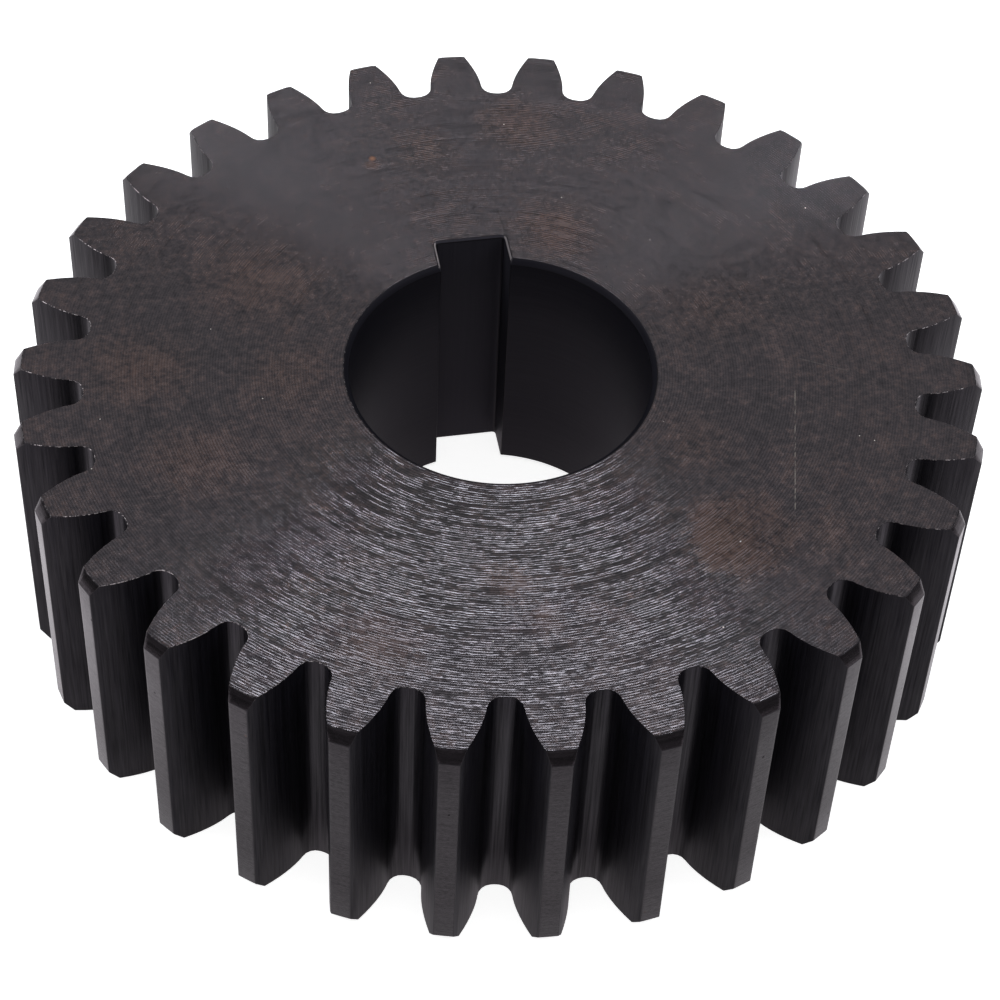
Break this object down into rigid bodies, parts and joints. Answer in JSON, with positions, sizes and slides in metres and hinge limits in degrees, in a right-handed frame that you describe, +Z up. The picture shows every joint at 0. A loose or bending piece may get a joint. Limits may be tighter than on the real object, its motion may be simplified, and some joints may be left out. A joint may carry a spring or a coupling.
{
  "type": "spur gear",
  "caption": "Straight-toothed spur gear with a turned body, chamfered tooth tips, a plain bore and a broached keyway; blackened steel with turning marks and rust specks.",
  "frame": {"origin": "centre of the lower face, on the bore axis", "axes": "+Z up along the bore axis, +Y from the axis through the middle of the keyway"},
  "size_m": [0.08, 0.08, 0.025],
  "materials": {
    "black_steel": "turned and hobbed steel with a thin black oxide coat, oiled, with a few rust specks"
  },
  "bodies": {
    "root": {"spur_gear": "black_steel"}
  },
  "joints": []
}
